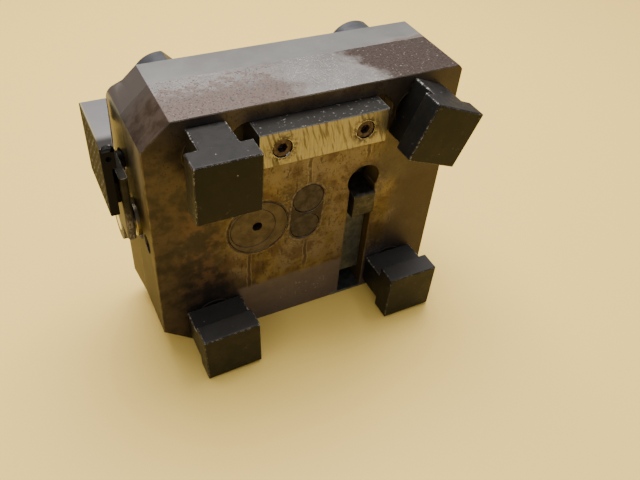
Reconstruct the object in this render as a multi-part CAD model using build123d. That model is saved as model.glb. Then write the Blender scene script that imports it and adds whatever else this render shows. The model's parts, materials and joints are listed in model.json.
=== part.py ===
"""Pneumatic gripper block: a two-part steel housing that carries four turning T-claws,
a locating key bar, a stop slide and one knurled jaw driven by an air cylinder.

Frame, in millimetres: the origin is on the rear face, on the cylinder's height and
half way along the housing. +Y points out of the rear face, so the claws are at -Y.
+X runs along the housing away from the jaw, and +Z is up with the block on its long side.
"""
from build123d import *
import math
import os

# ---- housing ----
LENGTH = 300.0
HEIGHT = 262.4
FRONT_THICK = 60.0
REAR_THICK = 35.0
DEPTH = FRONT_THICK + REAR_THICK
FRONT_Y = -DEPTH
JOINT_Y = -REAR_THICK
LEFT_X = -LENGTH / 2
RIGHT_X = LENGTH / 2
TOP_Z = HEIGHT / 2
LOW_Z = -HEIGHT / 2
TOP_CUT = (25.4, 22.9)
LOW_CUT = (29.7, 24.9)
RIGHT_CUT = 4.5
REAR_FLARE = 3.5         # the rear housing widens by this much at the jaw end, from joint to rear face
REAR_LEFT_X = LEFT_X - REAR_FLARE
EAR_START_X = LEFT_X + 12.4
EAR_START_DROP = 11.7
EAR_R = 12.2
EAR_DROP = 26.4          # the ear's centre lies this far below the top face
EAR_FROM = 118.0
EAR_STEPS = 5

# ---- claws ----
CLAW_X = (-97.0, 103.0)
CLAW_TOP_Z = 96.0
CLAW_LOW_Z = -102.0
HEAD_SIDE = 56.0
HEAD_THICK = 22.0
NECK_WIDE = 34.0
HEAD_BACK_Y = FRONT_Y - 31.0
EDGE_BREAK = 1.0
SHAFT_R = 15.0
BUSH_R = 18.0
RUN_CLEAR = 0.03         # radial running clearance of every shaft in its bush
AIR_GAP = 0.3            # space left between faces that move past each other
WASHER_R = 21.0
WASHER_THICK = 1.0
HUB_R = 28.5
HUB_FLAT = 22.0
HUB_FLAT_ANGLE = 45.0
HUB_END_Y = 31.0
HUB_SEAT_R = 12.0
HUB_SEAT_END_Y = 21.7
STOP_PIN_R = 3.0
STOP_RADIUS = 22.5
STOP_DEPTH = 5.0
QUARTER = 90.0
# name: (x, z, angle turned at rest about +Y, 0 with the neck's narrow side across X)
CLAWS = {
    "upper_left": (CLAW_X[0], CLAW_TOP_Z, 0.0),
    "upper_right": (CLAW_X[1], CLAW_TOP_Z, 22.0),
    "lower_left": (CLAW_X[0], CLAW_LOW_Z, 87.5),
    "lower_right": (CLAW_X[1], CLAW_LOW_Z, 90.0),
}
GROOVE_PLAY = 0.4        # the arc groove is this much wider than the stop pin on each side
HUB_KEY_WIDE = 8.0
HUB_KEY_Y = (3.0, 19.0)
HUB_KEY_IN = 4.0
HUB_KEY_OUT = 3.3
HUB_SCREW_HEAD_R = 15.5
HUB_SCREW_LONG = 22.0

# ---- key bar and its slot ----
KEY_X = (-60.0, 61.0)
KEY_Z = 99.8
KEY_HIGH = 34.0
KEY_FRONT_Y = FRONT_Y - 21.5
KEY_SLOT_DEEP = 14.0
KEY_SLOT_ENDS = (-60.5, 62.0)
KEY_SCREW_X = (-39.0, 39.0)

# ---- stop slide and its slot ----
SLIDE_X = 59.0
SLIDE_SLOT_WIDE = 28.0
SLIDE_SLOT_DEEP = 24.0
SLIDE_FOOT_WIDE = 36.0
SLIDE_FOOT_DEEP = 6.0
SLIDE_HOLE_Z = 24.0
SLIDE_HOLE_R = 17.0
SLIDE_BAR_SINK = 10.0    # the bar's front lies this far behind the housing's front face
SLIDE_LOW_Z = -107.0
SLIDE_TOP_Z = 9.0
SLIDE_NUB_Z = -19.0
SLIDE_NUB_PROUD = 4.0
SLIDE_NUB_WIDE = 24.0
SLIDE_FLOOR_Y = FRONT_Y + SLIDE_SLOT_DEEP + SLIDE_FOOT_DEEP + 2 * AIR_GAP
FOOT_PLATE_X = (36.0, 82.0)
FOOT_PLATE_THICK = 3.0
FOOT_SCREW_X = (40.5, 77.5)
FOOT_SCREW_Y = FRONT_Y + 12.0
FOOT_SCREW_R = 2.0
FOOT_SCREW_HEAD_R = 4.0
FOOT_SCREW_LONG = 10.0
FOOT_SCREW_HEX = 2.5
PLUNGER_Z = -60.0
PLUNGER_R = 6.0
PLUNGER_NOSE_R = 3.0
PLUNGER_GAP = 0.1        # between the plunger's nose and the slide's back

# ---- front face plugs ----
COVER_AT = (-51.0, -1.0)
COVER_R = 29.5
COVER_PLUG_AT = (-56.0, -0.5)
COVER_PLUG_R = 22.5
COVER_TAP_AT = (-52.0, 1.0)
COVER_THICK = 10.0
TAP_M10_R = 5.0
BLANK_UPPER_AT = (0.0, 18.8)
BLANK_UPPER_R = 16.0
BLANK_LOWER_AT = (-2.0, -14.2)
BLANK_LOWER_R = 15.0
BLANK_THICK = 8.0

# ---- air cylinder, along X ----
BORE_Y = -38.0
TUBE_R = 30.0
PISTON_BORE_R = 25.0
TUBE_X = (-122.0, -52.0)
POCKET_X = (-133.0, -40.0)
NOSE_R = 18.0
NOSE_X = -154.0
NOSE_RECESS_R = 22.0
NOSE_RECESS_DEEP = 3.0
ROD_R = 11.0
ROD_NECK_R = 9.0
PISTON_X = (-96.0, -80.0)
PORT_Y = -74.0
PORT_Z = -4.0
RIGHT_PORT_Y = -50.0
PORT_R = 9.5             # tap drill of a G1/2 thread
PORT_DEEP = 14.0
DUCT_R = 2.5
LEFT_DUCT_X = -114.4
GUIDE_Y = -20.0
GUIDE_Z = 54.0
GUIDE_R = 8.0
GUIDE_BUSH_R = 11.0
GUIDE_POCKET_X = -84.0

# ---- jaw and its carrier ----
CARRIER_X = (-166.0, -158.7)
JAW_FACE_X = -177.0
JAW_PLATE_X = -169.5
JAW_Y = (-79.0, -7.0)
JAW_Z = (41.0, 109.0)
JAW_HEAD_Z = 88.0
JAW_HEAD_FRONT_X = -166.0
JAW_HEAD_BACK_X = -153.8
JAW_NOTCH_X = -171.0
JAW_NOTCH_R = 4.5
JAW_NOTCH_DEEP = 4.0
CARRIER_Z = (10.0, 76.5)
CARRIER_BOSS_R = 18.0
GRUB_R = 2.5
GRUB_HEX = 2.5
JAW_SCREW_Z = 58.0
JAW_SCREW_Y = (-62.0, -40.0)

# ---- fasteners ----
REAR_BOLT_PITCH = 140.0
REAR_TAP_R = 5.1
REAR_TAP_DEEP = 24.0
HOUSING_SCREWS = (
    (-45.0, 112.0),
    (45.0, 112.0),
    (-45.0, -112.0),
    (45.0, -112.0),
    (135.0, 25.0),
    (-122.0, -55.0),
)
DOWELS = ((-20.0, -62.0), (125.0, 48.0))
M10_R = 5.0
M10_HEAD_R = 8.0
M10_HEAD_LONG = 10.0
M10_SINK_R = 9.0
M10_SINK_DEEP = 11.0
HEX_M10 = 8.0


# ---- small helpers ----
def rod_y(x, z, radius, y_from, y_to):
    """A cylinder along Y between two heights."""
    long = abs(y_to - y_from)
    middle = (y_from + y_to) / 2
    return Pos(x, middle, z) * Rot(90, 0, 0) * Cylinder(radius, long)


def rod_x(y, z, radius, x_from, x_to):
    """A cylinder along X between two ends."""
    long = abs(x_to - x_from)
    middle = (x_from + x_to) / 2
    return Pos(middle, y, z) * Rot(0, 90, 0) * Cylinder(radius, long)


def rod_z(x, y, radius, z_from, z_to):
    """A cylinder along Z between two heights."""
    return Pos(x, y, (z_from + z_to) / 2) * Cylinder(radius, abs(z_to - z_from))


def block(xs, ys, zs):
    """A box given by its low and high limits."""
    size = (xs[1] - xs[0], ys[1] - ys[0], zs[1] - zs[0])
    middle = ((xs[0] + xs[1]) / 2, (ys[0] + ys[1]) / 2, (zs[0] + zs[1]) / 2)
    return Pos(*middle) * Box(*size)


def slab_y(face, y_low, y_high):
    """A flat outline drawn in X and Z, made solid between two Y values."""
    solid = extrude(Plane.XZ * face, y_high - y_low, dir=(0, 1, 0))
    return Pos(0, y_low, 0) * solid


def socket_screw_y(x, z, seat_y, head_long, head_r, shank_r, shank_long, hex_size, head_side):
    """A socket head screw along Y; head_side is -1 or +1 for the way the head points."""
    head = rod_y(x, z, head_r, seat_y, seat_y + head_side * head_long)
    shank = rod_y(x, z, shank_r, seat_y, seat_y - head_side * shank_long)
    hexagon = RegularPolygon(hex_size / 2, 6, major_radius=False)
    socket = extrude(hexagon, head_long * 0.6)
    flip = 90 if head_side < 0 else -90
    top_y = seat_y + head_side * head_long
    cutter = Pos(x, top_y, z) * Rot(-flip, 0, 0) * socket
    return head + shank - cutter


def export(shape, name):
    """Writes one node."""
    export_step(shape, f"parts/{name}.step")


# ---- housing ----
def front_outline():
    """The front housing seen from the front: two cut corners at the jaw end."""
    points = [
        (LEFT_X + LOW_CUT[0], LOW_Z),
        (RIGHT_X, LOW_Z),
        (RIGHT_X, TOP_Z - RIGHT_CUT),
        (RIGHT_X - RIGHT_CUT, TOP_Z),
        (LEFT_X + TOP_CUT[0], TOP_Z),
        (LEFT_X, TOP_Z - TOP_CUT[1]),
        (LEFT_X, LOW_Z + LOW_CUT[1]),
    ]
    return make_face(Polyline(*points, close=True))


def at_joint(x, z):
    """The point of the front outline that a point of the ear runs to at the joint."""
    cut_z = TOP_Z - (LEFT_X + TOP_CUT[0] - x) * TOP_CUT[1] / TOP_CUT[0]
    return max(x, LEFT_X), min(z, cut_z)


def rear_body():
    """The rear housing without its holes: its jaw end widens into a round ear at the rear face."""
    ear = [(EAR_START_X, TOP_Z - EAR_START_DROP)]
    for step in range(EAR_STEPS + 1):
        turn = math.radians(EAR_FROM + (180 - EAR_FROM) * step / EAR_STEPS)
        x = REAR_LEFT_X + EAR_R + EAR_R * math.cos(turn)
        ear.append((x, TOP_Z - EAR_DROP + EAR_R * math.sin(turn)))
    rest = [
        (LEFT_X + LOW_CUT[0], LOW_Z),
        (RIGHT_X, LOW_Z),
        (RIGHT_X, TOP_Z - RIGHT_CUT),
        (RIGHT_X - RIGHT_CUT, TOP_Z),
        (LEFT_X + TOP_CUT[0], TOP_Z),
    ]
    low_rise = LOW_CUT[1] * (1 + REAR_FLARE / LOW_CUT[0])
    joint = rest + [at_joint(*point) for point in ear] + [(LEFT_X, LOW_Z + LOW_CUT[1])]
    rear = rest + ear + [(REAR_LEFT_X, LOW_Z + low_rise)]
    outlines = [Plane.XZ * make_face(Polyline(*points, close=True)) for points in (joint, rear)]
    return loft([Pos(0, JOINT_Y, 0) * outlines[0], outlines[1]], ruled=True)


def cylinder_pocket():
    """The round pocket that both housings close around the air cylinder, with the gland's recess."""
    pocket = rod_x(BORE_Y, 0, TUBE_R, *POCKET_X)
    pocket += rod_x(BORE_Y, 0, NOSE_R, REAR_LEFT_X - 1, POCKET_X[0])
    return pocket + rod_x(BORE_Y, 0, NOSE_RECESS_R, REAR_LEFT_X - 1, LEFT_X + NOSE_RECESS_DEEP)


def key_slot():
    """The round-ended slot in the front face that seats the key bar."""
    middle = sum(KEY_SLOT_ENDS) / 2
    long = KEY_SLOT_ENDS[1] - KEY_SLOT_ENDS[0] + KEY_HIGH
    outline = Pos(middle, KEY_Z) * SlotOverall(long, KEY_HIGH)
    return slab_y(outline, FRONT_Y - 1, FRONT_Y + KEY_SLOT_DEEP)


def slide_slot():
    """The stop slide's T-shaped slot, cut through the underside, with its round pocket on top."""
    neck_x = (SLIDE_X - SLIDE_SLOT_WIDE / 2, SLIDE_X + SLIDE_SLOT_WIDE / 2)
    foot_x = (SLIDE_X - SLIDE_FOOT_WIDE / 2 - AIR_GAP, SLIDE_X + SLIDE_FOOT_WIDE / 2 + AIR_GAP)
    foot_y = FRONT_Y + SLIDE_SLOT_DEEP
    slot = block(neck_x, (FRONT_Y - 1, foot_y + 1), (LOW_Z - 1, SLIDE_HOLE_Z))
    slot += block(foot_x, (foot_y, SLIDE_FLOOR_Y), (LOW_Z - 1, SLIDE_HOLE_Z + SLIDE_HOLE_R))
    slot += rod_y(SLIDE_X, SLIDE_HOLE_Z, SLIDE_HOLE_R, FRONT_Y - 1, SLIDE_FLOOR_Y)
    slot += rod_y(SLIDE_X, PLUNGER_Z, PLUNGER_R, SLIDE_FLOOR_Y - 1, JOINT_Y + 1)
    return slot


def foot_plate_box():
    """The space of the plate let into the underside below the slide's slot."""
    ys = (FRONT_Y, SLIDE_FLOOR_Y + 2)
    return block(FOOT_PLATE_X, ys, (LOW_Z, LOW_Z + FOOT_PLATE_THICK))


def foot_screws():
    """The two countersunk screws of the foot plate, without their sockets."""
    screws = []
    for x in FOOT_SCREW_X:
        cone = Cone(FOOT_SCREW_HEAD_R, FOOT_SCREW_R, FOOT_SCREW_HEAD_R - FOOT_SCREW_R)
        screw = Pos(x, FOOT_SCREW_Y, LOW_Z + (FOOT_SCREW_HEAD_R - FOOT_SCREW_R) / 2) * cone
        screw += rod_z(x, FOOT_SCREW_Y, FOOT_SCREW_R, LOW_Z + 1, LOW_Z + FOOT_SCREW_LONG)
        screws.append(screw)
    return screws


def claw_bores():
    """The four bores for the claw bushes, right through both housings."""
    bores = [rod_y(x, z, BUSH_R, FRONT_Y - 1, 1) for x, z, _ in CLAWS.values()]
    return Compound(bores)


def air_ducts():
    """Two ports, one in each end, with the ducts that lead to the cylinder's two chambers."""
    ducts = rod_x(PORT_Y, PORT_Z, PORT_R, LEFT_X - 1, LEFT_X + PORT_DEEP)
    ducts += rod_x(PORT_Y, PORT_Z, DUCT_R, LEFT_X, LEFT_DUCT_X)
    ducts += rod_y(LEFT_DUCT_X, PORT_Z, DUCT_R, PORT_Y, BORE_Y - PISTON_BORE_R)
    ducts += rod_x(RIGHT_PORT_Y, 0, PORT_R, RIGHT_X - PORT_DEEP, RIGHT_X + 1)
    ducts += rod_x(RIGHT_PORT_Y, 0, DUCT_R, POCKET_X[1] - 1, RIGHT_X)
    return ducts


def make_front_housing():
    body = slab_y(front_outline(), FRONT_Y, JOINT_Y)
    body -= cylinder_pocket()
    body -= key_slot()
    body -= slide_slot()
    body -= foot_plate_box()
    for screw in foot_screws():
        body -= screw
    body -= claw_bores()
    body -= air_ducts()
    body -= rod_y(*COVER_AT, COVER_R, FRONT_Y - 1, FRONT_Y + COVER_THICK)
    body -= rod_y(*BLANK_UPPER_AT, BLANK_UPPER_R, FRONT_Y - 1, FRONT_Y + BLANK_THICK)
    body -= rod_y(*BLANK_LOWER_AT, BLANK_LOWER_R, FRONT_Y - 1, FRONT_Y + BLANK_THICK)
    for x in KEY_SCREW_X:
        body -= rod_y(x, KEY_Z, M10_R, FRONT_Y, FRONT_Y + 38)
    for x, z in HOUSING_SCREWS:
        body -= rod_y(x, z, M10_R, JOINT_Y + 1, JOINT_Y - 22)
    for x, z in DOWELS:
        body -= rod_y(x, z, M10_R, JOINT_Y + 1, JOINT_Y - 15)
    return body


def make_rear_housing():
    body = rear_body()
    body -= cylinder_pocket()
    body -= claw_bores()
    body -= rod_x(GUIDE_Y, GUIDE_Z, GUIDE_BUSH_R, REAR_LEFT_X - 1, GUIDE_POCKET_X)
    for x, z in HOUSING_SCREWS:
        body -= rod_y(x, z, M10_R + 0.5, JOINT_Y - 1, 1)
        body -= rod_y(x, z, M10_SINK_R, -M10_SINK_DEEP, 1)
    for x, z in DOWELS:
        body -= rod_y(x, z, M10_R, JOINT_Y - 1, JOINT_Y + 15)
    half = REAR_BOLT_PITCH / 2
    for x in (-half, half):
        for z in (-half, half):
            body -= rod_y(x, z, REAR_TAP_R, -REAR_TAP_DEEP, 1)
    for x, z, _ in CLAWS.values():
        body -= Pos(x, 0, z) * stop_pin(-STOP_DEPTH * 2, 1)
    return body


def stop_pin(y_from, y_to):
    """One quarter-turn stop pin, placed about a claw axis at the origin."""
    angle = math.radians(HUB_FLAT_ANGLE + 180)
    return rod_y(STOP_RADIUS * math.cos(angle), STOP_RADIUS * math.sin(angle), STOP_PIN_R, y_from, y_to)


def make_stop_pins():
    return Compound([Pos(x, 0, z) * stop_pin(-STOP_DEPTH * 2, STOP_DEPTH) for x, z, _ in CLAWS.values()])


def make_housing_screws():
    seat = -M10_SINK_DEEP
    args = (seat, M10_HEAD_LONG, M10_HEAD_R, M10_R, DEPTH - FRONT_THICK - M10_SINK_DEEP + 20, HEX_M10, 1)
    return Compound([socket_screw_y(x, z, *args) for x, z in HOUSING_SCREWS])


def make_dowel_pins():
    return Compound([rod_y(x, z, M10_R, JOINT_Y - 14, JOINT_Y + 14) for x, z in DOWELS])


# ---- key bar and front plugs ----
def make_key_bar():
    bar = block(KEY_X, (KEY_FRONT_Y, FRONT_Y + KEY_SLOT_DEEP), (KEY_Z - KEY_HIGH / 2, KEY_Z + KEY_HIGH / 2))
    bar = chamfer(bar.edges().filter_by(Axis.X).group_by(Axis.Y)[0], 0.8)
    for x in KEY_SCREW_X:
        bar -= rod_y(x, KEY_Z, M10_R + 0.5, KEY_FRONT_Y - 1, FRONT_Y + KEY_SLOT_DEEP + 1)
        bar -= rod_y(x, KEY_Z, M10_SINK_R, KEY_FRONT_Y - 1, KEY_FRONT_Y + M10_SINK_DEEP)
    return bar


def make_key_screws():
    args = (KEY_FRONT_Y + M10_SINK_DEEP, M10_HEAD_LONG, M10_HEAD_R, M10_R, 44, HEX_M10, -1)
    return Compound([socket_screw_y(x, KEY_Z, *args) for x in KEY_SCREW_X])


def make_cover_ring():
    ring = rod_y(*COVER_AT, COVER_R, FRONT_Y, FRONT_Y + COVER_THICK)
    ring -= rod_y(*COVER_PLUG_AT, COVER_PLUG_R, FRONT_Y - 1, FRONT_Y + COVER_THICK + 1)
    return ring


def make_cover_plug():
    plug = rod_y(*COVER_PLUG_AT, COVER_PLUG_R, FRONT_Y, FRONT_Y + COVER_THICK)
    plug = chamfer(plug.edges().group_by(Axis.Y)[0], 0.7)
    plug -= rod_y(*COVER_TAP_AT, TAP_M10_R, FRONT_Y - 1, FRONT_Y + COVER_THICK + 1)
    return plug


def make_blanking_plug(at, radius):
    plug = rod_y(*at, radius, FRONT_Y + 0.4, FRONT_Y + BLANK_THICK)
    return chamfer(plug.edges().group_by(Axis.Y)[0], 0.6)


# ---- stop slide ----
def make_stop_slide():
    half_bar = SLIDE_SLOT_WIDE / 2 - AIR_GAP
    half_foot = SLIDE_FOOT_WIDE / 2
    bar_y = FRONT_Y + SLIDE_BAR_SINK
    foot_y = FRONT_Y + SLIDE_SLOT_DEEP + AIR_GAP
    end_y = foot_y + SLIDE_FOOT_DEEP
    heights = (SLIDE_LOW_Z, SLIDE_TOP_Z)
    slide = block((SLIDE_X - half_bar, SLIDE_X + half_bar), (bar_y, end_y), heights)
    nub_right = SLIDE_X + half_bar
    nub = block((nub_right - SLIDE_NUB_WIDE, nub_right), (FRONT_Y - SLIDE_NUB_PROUD, bar_y + 1),
                (SLIDE_NUB_Z, SLIDE_TOP_Z))
    nub = fillet(nub.edges().filter_by(Axis.X).group_by(Axis.Y)[0], 3)
    slide += nub
    slide += block((SLIDE_X - half_foot, SLIDE_X + half_foot), (foot_y, end_y), (SLIDE_LOW_Z, -10))
    tip = rod_y(SLIDE_X, SLIDE_LOW_Z + 30, 33, FRONT_Y - 10, 0)
    keep = block((-100, 200), (-200, 50), (SLIDE_LOW_Z + 12, 200)) + tip
    return slide & keep


def make_slot_foot_plate():
    """The plate that closes the slot's foot, so that the slide can't drop out."""
    plate = foot_plate_box()
    for screw in foot_screws():
        plate -= screw
    return plate


def make_foot_plate_screws():
    hexagon = extrude(RegularPolygon(FOOT_SCREW_HEX / 2, 6, major_radius=False), 1.5)
    return Compound([
        screw - Pos(x, FOOT_SCREW_Y, LOW_Z) * hexagon for x, screw in zip(FOOT_SCREW_X, foot_screws())
    ])


def make_slide_plunger():
    """A spring plunger screwed in from the joint face, with its nose against the slide's foot."""
    plunger = rod_y(SLIDE_X, PLUNGER_Z, PLUNGER_R, SLIDE_FLOOR_Y + 3, JOINT_Y - 1)
    nose_y = SLIDE_FLOOR_Y - AIR_GAP + PLUNGER_GAP
    return plunger + rod_y(SLIDE_X, PLUNGER_Z, PLUNGER_NOSE_R, nose_y, SLIDE_FLOOR_Y + 3)


# ---- claws ----
def make_claw():
    """A T-headed claw with its shaft, standing on the Y axis at the origin."""
    half = HEAD_SIDE / 2
    head = block((-half, half), (HEAD_BACK_Y - HEAD_THICK, HEAD_BACK_Y), (-half, half))
    head = chamfer(head.edges(), EDGE_BREAK)
    neck_y = (HEAD_BACK_Y - 2, FRONT_Y - WASHER_THICK - AIR_GAP)
    neck = block((-NECK_WIDE / 2, NECK_WIDE / 2), neck_y, (-half, half))
    neck = chamfer(neck.edges().filter_by(Axis.Y), EDGE_BREAK)
    claw = head + neck
    claw += rod_y(0, 0, SHAFT_R, neck_y[1] - 1, AIR_GAP + 1)
    claw += rod_y(0, 0, HUB_SEAT_R, 0, HUB_SEAT_END_Y)
    claw -= hub_key_space()
    claw -= rod_y(0, 0, M10_R, HUB_SEAT_END_Y - 25, HUB_SEAT_END_Y + 1)
    return claw


def hub_key_space():
    """The feather key's own space, half in the shaft and half in the hub."""
    half = HUB_KEY_WIDE / 2
    return block((-half, half), HUB_KEY_Y, (HUB_SEAT_R - HUB_KEY_IN, HUB_SEAT_R + HUB_KEY_OUT))


def make_hub():
    """The rear hub: one spanner flat, and an arc groove that runs over the stop pin."""
    start_y = AIR_GAP + 1
    hub = rod_y(0, 0, HUB_R, start_y - 1, HUB_END_Y)
    hub = chamfer(hub.edges().group_by(Axis.Y)[-1], 1.5)
    hub -= rod_y(0, 0, SHAFT_R + 0.5, -1, start_y)
    hub -= rod_y(0, 0, HUB_SEAT_R, -1, HUB_END_Y + 1)
    hub -= rod_y(0, 0, HUB_SEAT_R + 4, HUB_SEAT_END_Y + AIR_GAP, HUB_END_Y + 1)
    hub -= hub_key_space()
    flat_box = block((HUB_FLAT, HUB_FLAT + 20), (-1, HUB_END_Y + 1), (-40, 40))
    return hub - Rot(0, -HUB_FLAT_ANGLE, 0) * flat_box


def stop_groove():
    """The arc groove in a hub, a quarter turn long, whose ends meet the stop pin."""
    section = Rectangle(2 * (STOP_PIN_R + GROOVE_PLAY), STOP_DEPTH + 1.5)
    section = Pos(STOP_RADIUS, STOP_DEPTH / 2 + 0.25) * section
    margin = math.degrees((STOP_PIN_R + GROOVE_PLAY) / STOP_RADIUS)
    groove = revolve(section, Axis.Y, revolution_arc=QUARTER + 2 * margin)
    centre = groove.center()
    now = math.degrees(math.atan2(centre.Z, centre.X))
    want = HUB_FLAT_ANGLE + 180 + QUARTER / 2
    return Rot(0, now - want, 0) * groove


def make_hub_screw():
    """The screw that clamps a hub on its shaft, with a low wide head."""
    head_long = HUB_END_Y - 1 - HUB_SEAT_END_Y - AIR_GAP
    seat = HUB_SEAT_END_Y + AIR_GAP
    return socket_screw_y(0, 0, seat, head_long, HUB_SCREW_HEAD_R, M10_R, HUB_SCREW_LONG, HEX_M10, 1)


def make_bush():
    bush = rod_y(0, 0, BUSH_R, FRONT_Y, 0)
    return bush - rod_y(0, 0, SHAFT_R + RUN_CLEAR, FRONT_Y - 1, 1)


def make_washer():
    washer = rod_y(0, 0, WASHER_R, FRONT_Y - WASHER_THICK, FRONT_Y)
    return washer - rod_y(0, 0, SHAFT_R + RUN_CLEAR, FRONT_Y - 3, FRONT_Y + 1)


# ---- air cylinder ----
def ring_x(outer, inner, x_from, x_to):
    """A plain ring on the cylinder's axis."""
    return rod_x(BORE_Y, 0, outer, x_from, x_to) - rod_x(BORE_Y, 0, inner, x_from - 1, x_to + 1)


def make_cylinder_tube():
    tube = ring_x(TUBE_R, PISTON_BORE_R, *TUBE_X)
    return tube - rod_y(LEFT_DUCT_X, PORT_Z, DUCT_R, PORT_Y, BORE_Y - PISTON_BORE_R + 5)


def make_gland():
    """The rod-end gland: nose through the housing's end wall, flange, and a spigot in the tube."""
    gland = rod_x(BORE_Y, 0, NOSE_R, NOSE_X, POCKET_X[0] + 1)
    gland = chamfer(gland.edges().group_by(Axis.X)[0], 1.0)
    gland += rod_x(BORE_Y, 0, TUBE_R, POCKET_X[0], TUBE_X[0])
    gland += rod_x(BORE_Y, 0, PISTON_BORE_R, TUBE_X[0], TUBE_X[0] + 5)
    gland -= rod_x(BORE_Y, 0, ROD_R + 2, NOSE_X - 1, TUBE_X[0] + 6)
    gland -= rod_x(BORE_Y, 0, ROD_R + 3, NOSE_X - 1, NOSE_X + 5)
    gland -= ring_x(PISTON_BORE_R + 1, PISTON_BORE_R - 2, TUBE_X[0] + 1.5, TUBE_X[0] + 4)
    return gland


def make_end_cap():
    cap = rod_x(BORE_Y, 0, TUBE_R, TUBE_X[1], POCKET_X[1])
    cap += rod_x(BORE_Y, 0, PISTON_BORE_R, TUBE_X[1] - 5, TUBE_X[1])
    cap -= ring_x(PISTON_BORE_R + 1, PISTON_BORE_R - 2, TUBE_X[1] - 4, TUBE_X[1] - 1.5)
    return cap - rod_x(RIGHT_PORT_Y, 0, DUCT_R, TUBE_X[1] - 6, POCKET_X[1] + 1)


def make_piston():
    piston = ring_x(PISTON_BORE_R - RUN_CLEAR, M10_R + 1, *PISTON_X)
    for x in (PISTON_X[0] + 3, PISTON_X[1] - 6):
        piston -= ring_x(PISTON_BORE_R + 1, PISTON_BORE_R - 3, x, x + 3)
    return piston


def make_piston_seals():
    starts = (PISTON_X[0] + 3, PISTON_X[1] - 6)
    return Compound([ring_x(PISTON_BORE_R - RUN_CLEAR, PISTON_BORE_R - 3, x, x + 3) for x in starts])


def make_piston_rod():
    """The chromed rod: shouldered for the piston, with a neck that the carrier sits on."""
    rod = rod_x(BORE_Y, 0, ROD_R, CARRIER_X[1], PISTON_X[0])
    rod += rod_x(BORE_Y, 0, M10_R + 1, PISTON_X[0], PISTON_X[1] + 12)
    return rod + rod_x(BORE_Y, 0, ROD_NECK_R, CARRIER_X[0], CARRIER_X[1])


def make_piston_nut():
    hexagon = extrude(RegularPolygon(9, 6, major_radius=False), 10)
    nut = Pos(PISTON_X[1], BORE_Y, 0) * Rot(0, 90, 0) * hexagon
    return nut - rod_x(BORE_Y, 0, M10_R + 1, PISTON_X[1] - 1, PISTON_X[1] + 11)


def make_guide_rod():
    guide = rod_x(GUIDE_Y, GUIDE_Z, GUIDE_R, CARRIER_X[1], GUIDE_POCKET_X - 14)
    return guide + rod_x(GUIDE_Y, GUIDE_Z, GUIDE_R - 2, CARRIER_X[0], CARRIER_X[1])


def make_guide_bush():
    bush = rod_x(GUIDE_Y, GUIDE_Z, GUIDE_BUSH_R, LEFT_X, GUIDE_POCKET_X - 16)
    return bush - rod_x(GUIDE_Y, GUIDE_Z, GUIDE_R + RUN_CLEAR, REAR_LEFT_X - 1, GUIDE_POCKET_X)


# ---- jaw ----
def make_carrier():
    """The jaw carrier: a plate beside the housing's end that joins rod, guide and jaw."""
    boss_y = (BORE_Y - CARRIER_BOSS_R, BORE_Y + CARRIER_BOSS_R)
    carrier = block(CARRIER_X, JAW_Y, CARRIER_Z)
    carrier = fillet(carrier.edges().filter_by(Axis.Z).group_by(Axis.Y)[0], 3)
    carrier += block(CARRIER_X, boss_y, (0, CARRIER_Z[0] + 1))
    carrier += rod_x(BORE_Y, 0, CARRIER_BOSS_R, *CARRIER_X)
    carrier -= rod_x(BORE_Y, 0, ROD_NECK_R, CARRIER_X[0] - 1, CARRIER_X[1] + 1)
    carrier -= rod_z(sum(CARRIER_X) / 2, BORE_Y, GRUB_R, -CARRIER_BOSS_R - 1, -ROD_NECK_R + 1)
    carrier -= rod_x(GUIDE_Y, GUIDE_Z, GUIDE_R - 2, CARRIER_X[0] - 1, CARRIER_X[1] + 1)
    for y in JAW_SCREW_Y:
        carrier -= rod_x(y, JAW_SCREW_Z, 4, CARRIER_X[0] - 1, CARRIER_X[1] + 1)
        carrier -= rod_x(y, JAW_SCREW_Z, 6.5, CARRIER_X[1] - 4.5, CARRIER_X[1] + 1)
    return carrier


def make_jaw():
    """The gripping jaw: a thick head over the carrier, a face plate, and a tongue behind it."""
    outline = [
        (JAW_FACE_X, JAW_Y[0]),
        (JAW_FACE_X, JAW_Y[1]),
        (JAW_HEAD_BACK_X, JAW_Y[1]),
        (JAW_HEAD_FRONT_X, JAW_Y[0]),
    ]
    head = Pos(0, 0, JAW_HEAD_Z) * extrude(make_face(Polyline(*outline, close=True)), JAW_Z[1] - JAW_HEAD_Z)
    jaw = head + block((JAW_FACE_X, JAW_PLATE_X), JAW_Y, JAW_Z)
    jaw += block((JAW_PLATE_X, CARRIER_X[0]), (-72, -14), (JAW_SCREW_Z - 10, JAW_SCREW_Z + 10))
    jaw -= rod_y(JAW_HEAD_FRONT_X - 5, JAW_Z[1] - 11, 2.5, JAW_Y[0] - 1, JAW_Y[0] + 12)
    jaw -= rod_z(JAW_NOTCH_X, JAW_Y[0], JAW_NOTCH_R, JAW_Z[1] - JAW_NOTCH_DEEP, JAW_Z[1] + 1)
    for y in JAW_SCREW_Y:
        jaw -= rod_x(y, JAW_SCREW_Z, 3.4, JAW_FACE_X + 2, CARRIER_X[0] + 1)
    return jaw


def make_jaw_screws():
    screws = []
    for y in JAW_SCREW_Y:
        seat = CARRIER_X[1] - 4.5
        screw = rod_x(y, JAW_SCREW_Z, 6, seat, CARRIER_X[1] - 0.2)
        screw += rod_x(y, JAW_SCREW_Z, 3.4, JAW_FACE_X + 2.5, seat)
        screws.append(screw)
    return Compound(screws)


def make_rod_grub_screw():
    """The grub screw that locks the rod's neck in the carrier, driven in from below."""
    middle = sum(CARRIER_X) / 2
    screw = rod_z(middle, BORE_Y, GRUB_R, -CARRIER_BOSS_R + 1, -ROD_NECK_R)
    hexagon = extrude(RegularPolygon(GRUB_HEX / 2, 6, major_radius=False), 3)
    return screw - Pos(middle, BORE_Y, -CARRIER_BOSS_R + 1) * hexagon


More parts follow.
